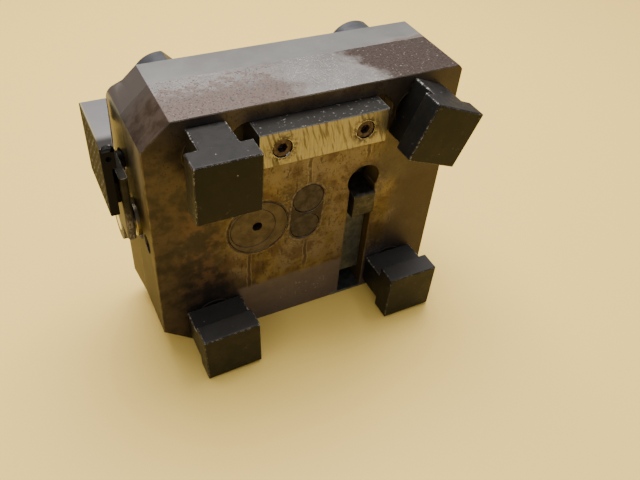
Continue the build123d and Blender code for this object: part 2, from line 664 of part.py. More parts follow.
def placed(shape, name):
    """A claw-axis shape moved to its claw's place, turned by its angle at rest."""
    x, z, angle = CLAWS[name]
    return Pos(x, 0, z) * Rot(0, angle, 0) * shape


def main():
    os.makedirs("parts", exist_ok=True)
    export(make_front_housing(), "front_housing")
    export(make_rear_housing(), "rear_housing")
    export(make_housing_screws(), "housing_screws")
    export(make_dowel_pins(), "dowel_pins")
    export(make_stop_pins(), "claw_stop_pins")
    export(make_key_bar(), "key_bar")
    export(make_key_screws(), "key_bar_screws")
    export(make_cover_ring(), "cover_ring")
    export(make_cover_plug(), "cover_plug")
    export(make_blanking_plug(BLANK_UPPER_AT, BLANK_UPPER_R), "blanking_plug_upper")
    export(make_blanking_plug(BLANK_LOWER_AT, BLANK_LOWER_R), "blanking_plug_lower")
    export(make_stop_slide(), "stop_slide")
    export(make_slide_plunger(), "slide_plunger")
    export(make_slot_foot_plate(), "slot_foot_plate")
    export(make_foot_plate_screws(), "foot_plate_screws")

    for name in CLAWS:
        export(placed(make_claw(), name), f"claw_{name}")
        export(placed(make_hub() - stop_groove(), name), f"hub_{name}")
        export(placed(hub_key_space(), name), f"hub_key_{name}")
        export(placed(make_hub_screw(), name), f"hub_screw_{name}")
        export(placed(make_bush(), name), f"bush_{name}")
        export(placed(make_washer(), name), f"thrust_washer_{name}")

    export(make_cylinder_tube(), "cylinder_tube")
    export(make_gland(), "cylinder_gland")
    export(ring_x(ROD_R + 2, ROD_R + RUN_CLEAR, NOSE_X + 10, TUBE_X[0] + 5), "gland_bush")
    export(ring_x(ROD_R + 3, ROD_R + RUN_CLEAR, NOSE_X + 0.5, NOSE_X + 5), "rod_wiper")
    export(ring_x(ROD_R + 2, ROD_R + RUN_CLEAR, NOSE_X + 5, NOSE_X + 10), "rod_seal")
    export(ring_x(PISTON_BORE_R, PISTON_BORE_R - 2, TUBE_X[0] + 1.5, TUBE_X[0] + 4), "gland_ring_seal")
    export(make_end_cap(), "cylinder_end_cap")
    export(ring_x(PISTON_BORE_R, PISTON_BORE_R - 2, TUBE_X[1] - 4, TUBE_X[1] - 1.5), "end_cap_ring_seal")
    export(make_guide_bush(), "guide_bush")
    export(make_guide_rod(), "guide_rod")
    export(make_piston(), "piston")
    export(make_piston_seals(), "piston_seals")
    export(make_piston_rod(), "piston_rod")
    export(make_piston_nut(), "piston_nut")
    export(make_carrier(), "jaw_carrier")
    export(make_rod_grub_screw(), "rod_grub_screw")
    export(make_jaw(), "gripping_jaw")
    export(make_jaw_screws(), "jaw_screws")


main()
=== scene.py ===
import json
import math

import bmesh
import bpy
from mathutils import Matrix, Vector

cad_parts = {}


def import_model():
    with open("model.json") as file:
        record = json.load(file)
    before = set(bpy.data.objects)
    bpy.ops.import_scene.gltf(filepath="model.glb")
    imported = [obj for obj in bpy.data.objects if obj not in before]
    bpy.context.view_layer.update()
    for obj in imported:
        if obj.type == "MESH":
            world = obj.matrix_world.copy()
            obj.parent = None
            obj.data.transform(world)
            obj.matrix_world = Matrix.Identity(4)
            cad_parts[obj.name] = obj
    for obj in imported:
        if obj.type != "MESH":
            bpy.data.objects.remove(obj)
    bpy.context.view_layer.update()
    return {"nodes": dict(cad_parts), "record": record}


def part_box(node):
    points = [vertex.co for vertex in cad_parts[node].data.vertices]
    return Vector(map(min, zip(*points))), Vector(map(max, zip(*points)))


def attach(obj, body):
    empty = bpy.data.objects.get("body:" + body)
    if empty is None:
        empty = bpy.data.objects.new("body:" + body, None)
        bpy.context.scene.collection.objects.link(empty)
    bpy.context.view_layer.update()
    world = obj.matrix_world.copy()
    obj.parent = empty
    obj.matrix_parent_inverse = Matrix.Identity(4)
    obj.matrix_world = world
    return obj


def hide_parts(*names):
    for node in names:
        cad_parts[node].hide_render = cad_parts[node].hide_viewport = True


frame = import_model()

MM = 0.001
NODES = frame["nodes"]
BODY_OF = {
    node: body
    for body, members in frame["record"]["behaviour"]["bodies"].items()
    for node in members
}
SLOT_OF = {part["node"]: part["material_slot"] for part in frame["record"]["subparts"]}


def edges_mm(node):
    """Lowest and highest corner of a CAD node, in millimetres."""
    low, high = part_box(node)
    return low / MM, high / MM


HOUSE_LOW, HOUSE_HIGH = edges_mm("front_housing")
REAR_LOW = edges_mm("rear_housing")[0]
KEY_LOW, KEY_HIGH = edges_mm("key_bar")
FRONT_Y, JOINT_Y = HOUSE_LOW.y, HOUSE_HIGH.y
LOW_Z, TOP_Z = HOUSE_LOW.z, HOUSE_HIGH.z


KEY_MIDDLE_Z = (KEY_LOW.z + KEY_HIGH.z) / 2
KEY_SCREWS_X = (-39, 39)
COVER_X, COVER_Z = -51, -1      # middle of the round cover in the front face
COVER_R = 30.6
PLUGS_Z = 2.3                   # middle of the pair of blanking plugs
PLUGS_LEAN = 0.06               # sideways lean of the pair per millimetre of height
PLUGS_R = 17.6                  # radius of the crust round each plug
PLUGS_HALF = 16.5               # half the distance between the plugs' middles
SLIDE_NUB_Z = -21
ON_PLANE = 0.01                 # a vertex this near a plane lies on it

KNURL_PITCH = 9.0               # between grooves, along each edge of the face
KNURL_DEEP = 1.2
KNURL_MARGIN = 1.5              # plain border round the knurl
KNURL_STEPS = 6                 # grid squares per pitch
JAW_EDGE = 0.6                  # width of the jaw's broken edges
SAME_PLACE = 2e-6               # vertices this near each other, in metres, are one
FLAT_ANGLE = math.radians(0.6)  # faces that turn less than this are one flat
SHARP_ANGLE = math.radians(35)  # edges that turn more than this are broken
SMOOTH_ANGLE = math.radians(32)
SHORT_EDGE = 2.2                # an edge shorter than this many widths stays as it is


# ---------------------------------------------------------------- materials
class Paint:
    """One procedural material. Each method that adds a node returns the node's output socket.
    Places and sizes are in millimetres in the object's own frame."""

    def __init__(self, name, metallic=1.0, specular=0.5):
        self.material = bpy.data.materials.new(name)
        self.material.use_nodes = True
        self.tree = self.material.node_tree
        self.tree.nodes.clear()
        self.shader = self.tree.nodes.new("ShaderNodeBsdfPrincipled")
        self.shader.inputs["Metallic"].default_value = metallic
        self.shader.inputs["Specular IOR Level"].default_value = specular
        output = self.tree.nodes.new("ShaderNodeOutputMaterial")
        self.tree.links.new(self.shader.outputs["BSDF"], output.inputs["Surface"])
        where = self.tree.nodes.new("ShaderNodeTexCoord")
        self.place = self.vector("SCALE", where.outputs["Object"], scale=1 / MM)
        self.x, self.y, self.z = self.split(self.place)
        self.nx, self.ny, self.nz = self.split(where.outputs["Normal"])
        self.shift = 0.0

    def add(self, kind, inputs, output=0, **settings):
        """Adds one node; an input is a socket to link or a value to set."""
        node = self.tree.nodes.new(kind)
        for key, value in settings.items():
            setattr(node, key, value)
        for key, value in inputs.items():
            if isinstance(value, bpy.types.NodeSocket):
                self.tree.links.new(value, node.inputs[key])
            else:
                node.inputs[key].default_value = value
        return node.outputs[output]

    def split(self, vector):
        node = self.tree.nodes.new("ShaderNodeSeparateXYZ")
        self.tree.links.new(vector, node.inputs[0])
        return node.outputs[0], node.outputs[1], node.outputs[2]

    def join(self, x, y, z):
        return self.add("ShaderNodeCombineXYZ", {0: x, 1: y, 2: z})

    def vector(self, how, a, b=None, scale=None):
        inputs = {0: a}
        if b is not None:
            inputs[1] = b
        if scale is not None:
            inputs["Scale"] = scale
        return self.add("ShaderNodeVectorMath", inputs, operation=how)

    def num(self, how, a, b=0.0):
        return self.add("ShaderNodeMath", {0: a, 1: b}, operation=how)

    def times(self, first, *others):
        for other in others:
            first = self.num("MULTIPLY", first, other)
        return first

    def plus(self, first, *others):
        for other in others:
            first = self.num("ADD", first, other)
        return first

    def most(self, first, *others):
        for other in others:
            first = self.num("MAXIMUM", first, other)
        return first

    def less(self, value):
        return self.num("SUBTRACT", 1.0, value)

    def rise(self, value, low, high):
        """0 below low and 1 above high, smooth between them; falls if low is above high."""
        inputs = {"Value": value, "From Min": low, "From Max": high, "To Min": 0.0, "To Max": 1.0}
        if low > high:
            inputs.update({"From Min": high, "From Max": low, "To Min": 1.0, "To Max": 0.0})
        return self.add("ShaderNodeMapRange", inputs, interpolation_type="SMOOTHSTEP")

    def between(self, value, low, high, soft):
        return self.times(
            self.rise(value, low - soft, low + soft), self.rise(value, high + soft, high - soft)
        )

    def noise(self, size, detail=3.0, rough=0.55, stretch=(1, 1, 1), distort=0.0):
        """Noise from 0 to 1 with blobs of about this size, longer along an axis with a stretch under 1."""
        self.shift += 17.3
        place = self.vector("MULTIPLY", self.place, tuple(stretch))
        place = self.vector("ADD", place, (self.shift, self.shift * 0.7, -self.shift))
        inputs = {"Vector": place, "Scale": 1 / size, "Detail": detail, "Roughness": rough}
        inputs["Distortion"] = distort
        return self.add("ShaderNodeTexNoise", inputs)

    def cells(self, size):
        """Distance to scattered points, 0 at each point."""
        self.shift += 11.1
        place = self.vector("ADD", self.place, (self.shift, 0, self.shift))
        return self.add("ShaderNodeTexVoronoi", {"Vector": place, "Scale": 1 / size})

    def mix(self, share, a, b):
        return self.add("ShaderNodeMix", {0: share, 2: a, 3: b}, data_type="FLOAT")

    def tint(self, share, a, b):
        inputs = {0: share, 6: self.colour(a), 7: self.colour(b)}
        return self.add("ShaderNodeMix", inputs, output=2, data_type="RGBA")

    @staticmethod
    def colour(value):
        return value if isinstance(value, bpy.types.NodeSocket) else (*value, 1.0)

    def spot(self, x, z, wide, high, soft=0.3, where=None):
        """An ellipse in the front plane; where is a warped (x, z) pair."""
        px, pz = where or (self.x, self.z)
        a = self.num("DIVIDE", self.num("SUBTRACT", px, x), wide)
        b = self.num("DIVIDE", self.num("SUBTRACT", pz, z), high)
        far = self.num("SQRT", self.plus(self.times(a, a), self.times(b, b)))
        return self.rise(far, 1 + soft, 1 - soft)

    def ring(self, x, z, radius, wide, where=None):
        """A thin circle in the front plane."""
        px, pz = where or (self.x, self.z)
        a = self.num("SUBTRACT", px, x)
        b = self.num("SUBTRACT", pz, z)
        far = self.num("SQRT", self.plus(self.times(a, a), self.times(b, b)))
        off = self.num("ABSOLUTE", self.num("SUBTRACT", far, radius))
        return self.rise(off, wide, 0.0)

    def edge(self, radius, low=0.03, high=0.25):
        """1 on the object's own sharp edges, 0 on its flats."""
        rounded = self.add("ShaderNodeBevel", {"Radius": radius * MM}, samples=4)
        flat = self.tree.nodes.new("ShaderNodeNewGeometry").outputs["True Normal"]
        product = self.tree.nodes.new("ShaderNodeVectorMath")
        product.operation = "DOT_PRODUCT"
        self.tree.links.new(rounded, product.inputs[0])
        self.tree.links.new(flat, product.inputs[1])
        return self.rise(self.less(product.outputs["Value"]), low, high)

    def start(self, colour, rough):
        """The bare surface that the coats go over."""
        self.base = colour
        self.rough = rough
        self.metal = self.shader.inputs["Metallic"].default_value
        self.height = 0.0

    def coat(self, share, colour=None, rough=None, metal=None):
        """Lays a colour, a roughness and a metal share over what is there, where share is 1."""
        if colour is not None:
            self.base = self.tint(share, self.base, colour)
        if rough is not None:
            self.rough = self.mix(share, self.rough, rough)
        if metal is not None:
            self.metal = self.mix(share, self.metal, metal)

    def lift(self, share, amount):
        """Raises the surface by an amount in millimetres where share is 1."""
        self.height = self.plus(self.height, self.times(share, amount))

    def done(self, bump=1.0):
        """Links what has been laid down to the shader and gives the material."""
        if isinstance(self.base, bpy.types.NodeSocket):
            self.tree.links.new(self.base, self.shader.inputs["Base Color"])
        else:
            self.shader.inputs["Base Color"].default_value = (*self.base, 1.0)
        if isinstance(self.rough, bpy.types.NodeSocket):
            self.tree.links.new(self.rough, self.shader.inputs["Roughness"])
        else:
            self.shader.inputs["Roughness"].default_value = self.rough
        if isinstance(self.metal, bpy.types.NodeSocket):
            self.tree.links.new(self.metal, self.shader.inputs["Metallic"])
        if isinstance(self.height, bpy.types.NodeSocket):
            inputs = {"Height": self.height, "Distance": MM, "Strength": bump}
            normal = self.add("ShaderNodeBump", inputs)
            self.tree.links.new(normal, self.shader.inputs["Normal"])
        return self.material


# Places on the front face, in millimetres: x, z, half width and half height of each patch
DIRT_SPOTS = ((-2, 3, 27, 42), (62, 22, 24, 27), (-20, 10, 14, 24), (95, -78, 40, 14))
SCRAPES = ((-8, -104, 20, 10), (20, -104, 10, 7), (-12, -37, 14, 2.6))
# x, lowest z and highest z of each thin streak
RUN_MARKS = ((0, 38, 66), (0, -70, -36), (-60, -76, -34), (60, 42, 66))


def front_steel():
    """Front housing: brown oil film over ground steel in front, pitted rust on top."""
    p = Paint("front_steel", specular=0.2)
    big = p.noise(38, 4)
    mid = p.noise(11, 4)
    fine = p.noise(2.4, 5, 0.65)
    grain = p.noise(0.7, 2)
    warp_x = p.plus(p.x, p.times(p.num("SUBTRACT", p.noise(22, 3), 0.5), 26))
    warp_z = p.plus(p.z, p.times(p.num("SUBTRACT", p.noise(22, 3), 0.5), 26))
    warped = (warp_x, warp_z)
    front = p.times(p.rise(p.ny, -0.6, -0.9), p.rise(p.y, FRONT_Y + 2.5, FRONT_Y + 1.5))
    top = p.rise(p.nz, 0.8, 0.95)
    chamfer = p.times(p.rise(p.nx, -0.4, -0.55), p.rise(p.nz, 0.4, 0.55))
    end = p.rise(p.nx, -0.85, -0.97)

    # dark oiled steel everywhere, with lines of the grinding wheel
    lines = p.noise(1.1, 3, 0.6, (0.05, 1, 1))
    p.start(p.tint(big, (0.051, 0.039, 0.027), (0.096, 0.075, 0.051)), p.mix(fine, 0.3, 0.5))
    p.lift(lines, 0.015)
    p.lift(fine, 0.03)

    # front face: gold-brown film with red-brown clouds, dark mottles and pale flecks
    film = p.tint(p.rise(mid, 0.3, 0.7), (0.098, 0.07, 0.032), (0.181, 0.138, 0.078))
    film = p.tint(p.rise(big, 0.42, 0.62), film, (0.157, 0.127, 0.099))
    p.coat(front, film, p.mix(mid, 0.32, 0.5), 0.75)
    dull = p.times(front, p.spot(5, 55, 60, 14, 0.5, warped))
    p.coat(p.times(dull, 0.5), (0.167, 0.143, 0.128), 0.45)
    p.coat(p.times(front, p.rise(p.noise(24, 5, 0.6), 0.49, 0.62), 0.7), (0.078, 0.046, 0.03), 0.5)
    streaks = p.rise(p.noise(5, 5, 0.65, (1, 1, 0.3)), 0.56, 0.68)
    p.coat(p.times(front, streaks, 0.8), (0.049, 0.036, 0.027), 0.5)
    mottles = p.rise(p.noise(3.4, 5, 0.75), 0.54, 0.66)
    p.coat(p.times(front, mottles, 0.8), (0.044, 0.034, 0.026), 0.55)
    flecks = p.rise(p.noise(1.7, 5, 0.75), 0.64, 0.7)
    p.coat(p.times(front, flecks, 0.55), (0.265, 0.233, 0.203), 0.45)
    # dark left side and its red-brown clouds
    left = p.rise(p.plus(p.x, p.times(p.num("SUBTRACT", big, 0.5), 60)), -72, -104)
    left_low = p.rise(p.plus(warp_x, p.times(warp_z, 1.0)), -118, -138)
    dark = p.times(front, p.most(left, left_low))
    soil = p.tint(p.rise(mid, 0.35, 0.65), (0.032, 0.029, 0.027), (0.067, 0.051, 0.042))
    p.coat(p.times(dark, 0.9), soil, 0.42)
    clouds = p.times(dark, p.rise(mid, 0.5, 0.66), p.spot(-102, -24, 26, 66, 0.5, warped))
    p.coat(p.times(clouds, 0.8), (0.127, 0.08, 0.053), 0.5)
    # purple-brown bottom band and right side
    band = p.times(front, p.rise(p.plus(p.z, p.times(mid, 8)), LOW_Z + 61, LOW_Z + 57))
    band = p.times(band, p.rise(p.x, -78, -66))
    p.coat(p.times(band, 0.9), p.tint(mid, (0.1, 0.085, 0.1), (0.15, 0.128, 0.142)), 0.48)
    right = p.times(front, p.rise(warp_x, 88, 102), p.rise(warp_z, 40, 20))
    p.coat(p.times(right, 0.85), p.tint(mid, (0.042, 0.032, 0.027), (0.078, 0.06, 0.052)), 0.5)
    upper = p.times(front, p.rise(p.plus(p.z, p.times(mid, 10)), 112, 122))
    p.coat(p.times(upper, 0.6), (0.06, 0.052, 0.05), 0.5)
    beside = p.times(front, p.rise(warp_x, 100, 114), p.rise(mid, 0.3, 0.55))
    p.coat(p.times(beside, 0.7), (0.05, 0.038, 0.03), 0.5)
    # painted shade: darker towards the upper right, where the upper right claw casts its shadow on the
    # front face
    upper_right = p.times(front, p.rise(warp_x, 62, 84), p.rise(warp_z, 6, 30))
    claw_shade_tint = p.tint(mid, (0.045, 0.038, 0.03), (0.09, 0.075, 0.062))
    p.coat(p.times(upper_right, 0.85), claw_shade_tint, 0.48)
    # dirt around the plugs and at the foot of the slide's slot
    for x, z, wide, high in DIRT_SPOTS:
        dirt = p.times(front, p.spot(x, z, wide, high, 0.45, warped), p.rise(fine, 0.35, 0.6))
        p.coat(p.times(dirt, 0.7), (0.051, 0.042, 0.042), 0.55)
    # run marks: thin dark streaks with pale borders
    for x, low, high in RUN_MARKS:
        drift = p.plus(p.x, p.times(p.num("SUBTRACT", p.noise(12, 4), 0.5), 7))
        off = p.num("ABSOLUTE", p.num("SUBTRACT", drift, x))
        run = p.times(front, p.between(p.z, low, high, 6), p.rise(mid, 0.32, 0.5))
        p.coat(p.times(run, p.rise(off, 2.2, 1.0), 0.7), (0.049, 0.036, 0.03), 0.5)
        border = p.times(run, p.rise(off, 3.2, 2.2), p.rise(off, 1.2, 2.0), 0.5)
        p.coat(border, (0.235, 0.196, 0.15), 0.5)
    # the two blanking plugs share one dark patch with a crusted outline; the cover has its own
    crust = p.rise(p.noise(5, 5, 0.7), 0.45, 0.58)
    along = p.num("SUBTRACT", p.z, PLUGS_Z)
    past = p.num("MAXIMUM", p.num("SUBTRACT", p.num("ABSOLUTE", along), PLUGS_HALF), 0.0)
    aside = p.num("SUBTRACT", p.x, p.plus(p.times(along, PLUGS_LEAN), -1.0))
    far = p.num("SQRT", p.plus(p.times(aside, aside), p.times(past, past)))
    p.coat(p.times(front, p.rise(far, 18, 16), 0.85), (0.041, 0.034, 0.03), 0.6)
    rim = p.rise(p.num("ABSOLUTE", p.num("SUBTRACT", far, PLUGS_R)), 1.5, 0.3)
    p.coat(p.times(front, rim, crust, 0.85), (0.196, 0.159, 0.135), 0.6)
    p.coat(p.times(front, p.ring(COVER_X, COVER_Z, COVER_R, 2.2), 0.8), (0.022, 0.017, 0.015), 0.6)
    outline = p.times(front, p.ring(COVER_X, COVER_Z, COVER_R + 1.4, 1.4), crust, 0.7)
    p.coat(outline, (0.196, 0.159, 0.128), 0.6)
    # bright scrapes in the bottom band and one over it
    scrape = p.rise(p.noise(3.0, 4, 0.75), 0.58, 0.66)
    for x, z, wide, high in SCRAPES:
        patch = p.times(front, p.spot(x, z, wide, high, 0.4, warped), scrape)
        p.coat(patch, (0.363, 0.371, 0.45), 0.35)
    specks = p.rise(p.cells(5.5), 0.16, 0.06)
    p.coat(p.times(front, specks, p.rise(mid, 0.5, 0.6), 0.8), (0.018, 0.014, 0.012), 0.6)
    p.lift(p.times(front, mottles), 0.08)
    p.lift(p.times(front, rim, crust), 0.3)

    # inside the slots and the pocket: painted light, a lighter and less metallic colour so that the shaded
    # walls come out brighter
    facing_in = p.times(p.rise(p.nz, 0.8, 0.5), p.rise(p.nx, -0.95, -0.8))
    inner = p.times(p.rise(p.y, FRONT_Y + 2, FRONT_Y + 5), facing_in)
    recess_fill_light = p.tint(mid, (0.07, 0.06, 0.038), (0.12, 0.1, 0.065))
    p.coat(p.times(inner, p.less(chamfer)), recess_fill_light, 0.5, 0.2)

    # top: ground steel, pitted at the left, brown rust at the right
    steel = p.tint(p.rise(big, 0.35, 0.65), (0.228, 0.209, 0.195), (0.282, 0.262, 0.244))
    p.coat(top, steel, p.mix(lines, 0.3, 0.42))
    edge_of_rust = p.plus(p.y, p.times(p.num("SUBTRACT", mid, 0.5), 14))
    rust_left = p.times(p.rise(p.plus(p.x, p.times(p.num("SUBTRACT", big, 0.5), 70)), -2, -26), top)
    patches = p.rise(p.plus(p.noise(7, 4, 0.65), p.times(p.y, -0.004)), 0.62, 0.78)
    uneven_y = p.plus(p.y, p.times(p.num("SUBTRACT", mid, 0.5), 20))
    near_front = p.rise(uneven_y, FRONT_Y + 48, FRONT_Y + 22)
    p.coat(p.times(rust_left, near_front, 0.85), (0.07, 0.06, 0.057), 0.6)
    p.coat(p.times(rust_left, patches, 0.85), (0.132, 0.1, 0.087), 0.6)
    pits = p.rise(p.noise(1.6, 3, 0.6), 0.57, 0.63)
    p.coat(p.times(rust_left, pits, 0.8), (0.078, 0.059, 0.052), 0.7)
    p.coat(p.times(rust_left, p.rise(fine, 0.62, 0.7), 0.5), (0.42, 0.4, 0.372), 0.4)
    uneven_x = p.plus(p.x, p.times(p.y, 0.35), p.times(p.num("SUBTRACT", mid, 0.5), 50))
    rust_right = p.rise(uneven_x, 20, 52)
    rust_right = p.times(rust_right, top, p.rise(edge_of_rust, JOINT_Y + 6, JOINT_Y - 1))
    rust = p.tint(p.rise(fine, 0.35, 0.65), (0.036, 0.024, 0.019), (0.064, 0.048, 0.04))
    p.coat(p.times(rust_right, 0.97), rust, 0.62)
    p.coat(p.times(rust_right, p.rise(p.noise(2.2, 4), 0.63, 0.7), 0.6), (0.3, 0.27, 0.244), 0.5)
    scratches = p.rise(p.noise(5, 4, 0.6, (1.0, 0.22, 1), 0.6), 0.6, 0.68)
    middle = p.times(top, p.between(p.x, -20, 35, 14))
    p.coat(p.times(middle, scratches, 0.45), (0.18, 0.159, 0.14), 0.5)
    p.lift(p.times(top, pits), -0.12)
    p.lift(p.times(top, p.plus(rust_left, rust_right), mid), 0.25)

    # cut corner: brown rust that thins out towards the joint
    cut = p.tint(p.rise(mid, 0.35, 0.65), (0.069, 0.043, 0.028), (0.12, 0.084, 0.06))
    p.coat(chamfer, cut, 0.55)
    thin_rust = p.times(chamfer, p.rise(edge_of_rust, JOINT_Y - 26, JOINT_Y), 0.7)
    p.coat(thin_rust, (0.162, 0.132, 0.108), 0.4)
    p.lift(p.times(chamfer, fine), 0.15)

    # end face: smooth steel with brown smears; its golden tint is a painted reflection of the yellow
    # floor, and it is darker towards the bottom and lighter towards the top
    floor_glow_tint = p.tint(p.rise(big, 0.35, 0.65), (0.086, 0.055, 0.013), (0.117, 0.08, 0.022))
    p.coat(end, floor_glow_tint, p.mix(mid, 0.55, 0.68), 0.15)
    p.coat(p.times(end, p.rise(p.z, 60, -10), 0.8), (0.035, 0.026, 0.011), 0.62)
    p.coat(p.times(end, p.rise(p.z, 10, 90), 0.75), (0.3, 0.25, 0.15), 0.55)
    smear = p.times(end, p.rise(p.noise(16, 4, 0.6, (1, 1, 0.35)), 0.52, 0.66))
    p.coat(p.times(smear, 0.6), (0.065, 0.036, 0.009), 0.5)
    p.coat(p.times(end, p.rise(p.y, FRONT_Y + 10, FRONT_Y), 0.5), (0.043, 0.027, 0.009), 0.5)

    # worn edges, then a painted glint
    worn = p.times(p.edge(1.3), p.rise(p.noise(9, 4, 0.7), 0.42, 0.6))
    p.coat(p.times(worn, 0.75), (0.36, 0.336, 0.3), 0.35)
    # painted highlight: a bright glint along the middle of the top front edge
    bright = p.times(p.edge(1.3), p.between(p.x, -14, 30, 4), p.rise(p.z, TOP_Z - 3, TOP_Z - 1))
    p.coat(bright, (0.57, 0.564, 0.54), 0.2)
    p.lift(grain, 0.01)
    return p.done(0.7)


def rear_steel():
    """Rear housing: clean ground steel with long grinding lines and light stains."""
    p = Paint("rear_steel", specular=0.2)
    big = p.noise(45, 4)
    mid = p.noise(12, 4)
    fine = p.noise(2.2, 5, 0.65)
    lines = p.noise(0.9, 3, 0.6, (0.04, 1, 1))
    top = p.rise(p.nz, 0.8, 0.95)
    chamfer = p.times(p.rise(p.nx, -0.3, -0.5), p.rise(p.nz, 0.15, 0.4))
    end = p.rise(p.nx, -0.8, -0.93)
    p.start(p.tint(big, (0.24, 0.222, 0.198), (0.3, 0.288, 0.27)), p.mix(fine, 0.28, 0.42))
    steel = p.tint(p.rise(big, 0.35, 0.65), (0.258, 0.246, 0.231), (0.306, 0.294, 0.276))
    p.coat(top, steel, p.mix(lines, 0.28, 0.38))
    stains = p.rise(p.noise(8, 5, 0.65, (1, 0.4, 1), 0.8), 0.6, 0.7)
    p.coat(p.times(stains, 0.35), (0.144, 0.12, 0.096), 0.5)
    streaks = p.rise(p.noise(4.5, 4, 0.6, (0.9, 0.25, 1), 0.8), 0.6, 0.68)
    p.coat(p.times(top, streaks, p.between(p.x, -20, 45, 14), 0.5), (0.18, 0.162, 0.144), 0.5)
    near_joint = p.rise(p.plus(p.y, p.times(mid, -14)), JOINT_Y + 2, JOINT_Y - 6)
    rusty = p.times(near_joint, p.rise(p.x, 80, 120))
    p.coat(p.times(rusty, top, 0.8), (0.108, 0.078, 0.06), 0.6)
    p.coat(chamfer, p.tint(big, (0.162, 0.126, 0.101), (0.227, 0.186, 0.154)), 0.36)
    # end face: its golden tint is a painted reflection of the yellow floor; darker towards the bottom and
    # lighter towards the top
    floor_glow_tint = p.tint(p.rise(big, 0.35, 0.65), (0.106, 0.079, 0.027), (0.145, 0.111, 0.041))
    p.coat(end, floor_glow_tint, p.mix(mid, 0.52, 0.64), 0.2)
    p.coat(p.times(end, p.rise(p.z, 60, -10), 0.6), (0.06, 0.047, 0.022), 0.6)
    p.coat(p.times(end, p.rise(p.z, 0, 90), 0.8), (0.36, 0.31, 0.2), 0.45)
    worn = p.times(p.edge(1.2), p.rise(p.noise(9, 4, 0.7), 0.42, 0.6))
    p.coat(p.times(worn, 0.7), (0.408, 0.39, 0.36), 0.3)
    p.lift(lines, 0.012)
    p.lift(fine, 0.015)
    return p.done(0.6)


def black_oxide(name, worn_share=1.0):
    """Forged steel, blackened, oily, with chips along its edges."""
    p = Paint(name, metallic=0.4, specular=0.22)
    big = p.noise(24, 4)
    mid = p.noise(7, 4)
    fine = p.noise(1.3, 4, 0.65)
    p.start(p.tint(big, (0.007, 0.0072, 0.0065), (0.016, 0.015, 0.013)), p.mix(mid, 0.36, 0.56))
    oil = p.rise(p.noise(13, 5, 0.6), 0.5, 0.62)
    p.coat(p.times(oil, 0.45), (0.021, 0.017, 0.012), 0.3)
    # painted shade: the front faces of the upper claws darker
    upper_front_shade = p.times(p.rise(p.ny, -0.6, -0.9), p.rise(p.z, 0, 20))
    p.coat(p.times(upper_front_shade, 0.6), (0.005, 0.005, 0.004), 0.5, 0.3)
    tops = p.rise(p.nz, 0.7, 0.9)
    p.coat(p.times(tops, p.rise(mid, 0.3, 0.6), 0.7), (0.016, 0.013, 0.012), 0.55, 0.2)
    # painted reflection of the sky: the lower claws' tops lighter
    p.coat(p.times(tops, p.rise(p.z, -20, -40), 0.8), (0.045, 0.041, 0.037), 0.5)
    rub = p.times(p.rise(p.noise(5, 5, 0.7), 0.6, 0.7), p.rise(big, 0.45, 0.6))
    p.coat(p.times(rub, 0.35), (0.102, 0.099, 0.09), 0.42)
    chips = p.times(p.edge(2.0), p.rise(p.noise(3.2, 4, 0.75), 0.5, 0.58))
    p.coat(p.times(chips, 0.95 * worn_share), (0.75, 0.73, 0.68), 0.35, 0.3)
    thin = p.times(p.edge(0.9), p.rise(mid, 0.4, 0.6))
    p.coat(p.times(thin, 0.55 * worn_share), (0.24, 0.228, 0.21), 0.38)
    nicks = p.times(p.rise(p.cells(8.5), 0.085, 0.03), p.rise(mid, 0.5, 0.56))
    p.coat(p.times(nicks, 0.8), (0.33, 0.318, 0.294), 0.4)
    p.lift(fine, 0.05)
    p.lift(mid, 0.12)
    p.lift(chips, -0.25)
    return p.done(0.8)


def key_steel():
    """Key bar: ground bright, slanting stains and grime round its screws in front, dark on top."""
    p = Paint("key_steel", specular=0.05)
    big = p.noise(26, 4)
    fine = p.noise(1.8, 4)
    front = p.rise(p.ny, -0.6, -0.9)
    top = p.rise(p.nz, 0.6, 0.9)
    p.start(p.tint(big, (0.252, 0.234, 0.204), (0.336, 0.318, 0.282)), p.mix(fine, 0.28, 0.42))
    lines = p.noise(1.2, 3, 0.6, (1, 1, 0.08))
    ground = p.tint(p.rise(lines, 0.3, 0.7), (0.215, 0.2, 0.172), (0.285, 0.27, 0.24))
    p.coat(front, ground, p.mix(lines, 0.26, 0.4))
    slant = p.plus(p.x, p.times(p.z, 0.32))
    streak_place = p.join(slant, p.y, p.times(p.z, 0.12))
    streaks = p.add("ShaderNodeTexNoise", {"Vector": streak_place, "Scale": 0.35, "Detail": 4.0})
    p.coat(p.times(front, p.rise(streaks, 0.52, 0.64), 0.7), (0.09, 0.075, 0.055), 0.5)
    for x in KEY_SCREWS_X:
        blotches = p.rise(p.noise(3, 4, 0.7), 0.42, 0.56)
        grime = p.times(front, p.spot(x, KEY_MIDDLE_Z, 13, 13, 0.35), blotches)
        p.coat(p.times(grime, 0.85), (0.042, 0.027, 0.018), 0.6)
    p.coat(p.times(top, 0.95), p.tint(big, (0.006, 0.005, 0.005), (0.016, 0.014, 0.012)), 0.6, 0.1)
    p.coat(p.times(top, p.rise(p.noise(3, 4), 0.62, 0.68), 0.5), (0.27, 0.252, 0.228), 0.4)
    p.coat(p.times(p.edge(1.4), p.rise(p.noise(14, 3), 0.3, 0.5)), (0.54, 0.528, 0.504), 0.2)
    p.lift(lines, 0.02)
    p.lift(fine, 0.02)
    return p.done(0.7)


